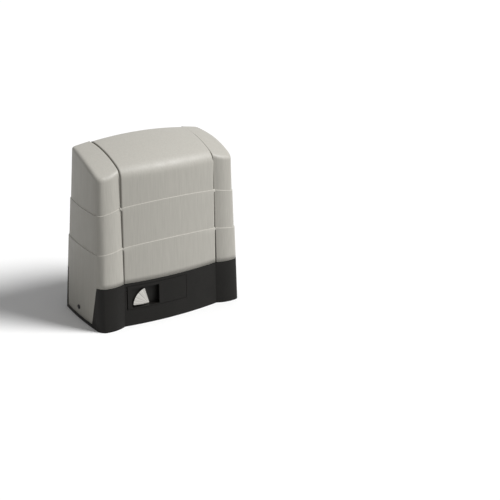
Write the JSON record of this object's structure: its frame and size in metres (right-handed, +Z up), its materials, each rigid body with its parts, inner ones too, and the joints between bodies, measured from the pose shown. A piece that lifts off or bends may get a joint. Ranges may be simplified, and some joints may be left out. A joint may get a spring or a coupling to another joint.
{
  "type": "sliding gate motor",
  "caption": "Sliding gate motor: black cast base with a release lever, lift-off domed cover between slide-off end caps, worm gearbox and a rack pinion behind.",
  "frame": {"origin": "middle of the foot face, midway between the four anchor slots", "axes": "+Z up; +X along the gate's travel, to the right seen from the front; -Y the front with the release lever; +Y the gate side with the rack pinion"},
  "size_m": [0.3756, 0.235, 0.3994],
  "materials": {
    "base_black": "satin",
    "cover_grey": "fine satin",
    "black_screw": "satin",
    "zinc_steel": "zinc plated",
    "rubber_black": "matte",
    "cast_aluminium": "as cast",
    "bearing_steel": "ground",
    "machined_steel": "machined",
    "bronze": "machined",
    "lamination_steel": "matte",
    "chrome": "polished, radially brushed",
    "brass_lock": "polished",
    "black_plastic": "matte",
    "spring_steel": "bright",
    "grey_plastic": "matte",
    "board_green": "solder mask",
    "terminal_green": "matte",
    "transformer_wrap": "polyester tape"
  },
  "bodies": {
    "chassis": {"base_housing": "base_black", "levelling_screws": "zinc_steel", "cable_grommet": "rubber_black", "gearbox_case": "cast_aluminium", "gearbox_lid": "cast_aluminium", "front_bearing": "bearing_steel", "rear_bearing": "bearing_steel", "shaft_seal": "rubber_black", "worm_bearing_left": "bearing_steel", "worm_bearing_right": "bearing_steel", "motor_can": "cast_aluminium", "stator": "lamination_steel", "motor_end_bell": "cast_aluminium", "limit_switch": "black_plastic", "shelf_posts": "zinc_steel", "shelf_plate": "zinc_steel", "controller_tray": "grey_plastic", "controller_board": "board_green", "board_spacers": "black_plastic", "board_terminals": "terminal_green", "board_parts": "black_plastic", "board_display": "black_plastic", "transformer": "transformer_wrap", "transformer_clamp": "zinc_steel", "mains_filter": "grey_plastic"},
    "drive": {"output_shaft": "machined_steel", "worm_wheel": "bronze", "drive_pinion": "zinc_steel", "pinion_washer": "zinc_steel", "pinion_screw": "zinc_steel"},
    "rotor": {"worm_shaft": "machined_steel", "rotor_core": "lamination_steel"},
    "lever": {"release_lever": "base_black"},
    "key_flap": {"key_cover": "chrome"},
    "lock": {"key_barrel": "brass_lock"},
    "wand": {"wand_hub": "black_plastic", "wand_spring": "spring_steel", "wand_tip": "rubber_black"},
    "cover": {"cover_shell": "cover_grey"},
    "cap_right": {"end_cap_right": "cover_grey", "cap_screw_right": "black_screw"},
    "cap_left": {"end_cap_left": "cover_grey", "cap_screw_left": "black_screw"}
  },
  "joints": [
    {"name": "drive_spin", "type": "hinge", "parent": "chassis", "child": "drive", "pos_m": [-0.062, 0, 0.072], "axis": [0, 1, 0], "continuous": true},
    {"name": "rotor_spin", "type": "hinge", "parent": "chassis", "child": "rotor", "pos_m": [0, 0.025, 0.132], "axis": [1, 0, 0], "continuous": true},
    {"name": "lever_swing", "type": "hinge", "parent": "chassis", "child": "lever", "pos_m": [-0.107, -0.0793, 0.066], "axis": [0, 0, -1], "range_deg": [0, 90]},
    {"name": "key_cover_turn", "type": "hinge", "parent": "lever", "child": "key_flap", "pos_m": [-0.0625, -0.082, 0.044], "axis": [0, 1, 0], "range_deg": [0, 75]},
    {"name": "lock_turn", "type": "hinge", "parent": "lever", "child": "lock", "pos_m": [-0.087, -0.075, 0.0555], "axis": [0, 1, 0], "range_deg": [0, 90]},
    {"name": "wand_swing", "type": "hinge", "parent": "chassis", "child": "wand", "pos_m": [0.023, 0.1014, 0.07], "axis": [0, 1, 0], "range_deg": [-30, 30], "stiffness_Nm_per_rad": 0.3},
    {"name": "cover_lift", "type": "slide", "parent": "chassis", "child": "cover", "axis": [0, 0, 1], "range_m": [0, 0.3]},
    {"name": "cap_right_slide", "type": "slide", "parent": "chassis", "child": "cap_right", "axis": [1, 0, 0], "range_m": [0, 0.1]},
    {"name": "cap_left_slide", "type": "slide", "parent": "chassis", "child": "cap_left", "axis": [-1, 0, 0], "range_m": [0, 0.1]}
  ],
  "couplings": [
    {"joint": "rotor_spin", "follows": "drive_spin", "ratio": -30}
  ]
}
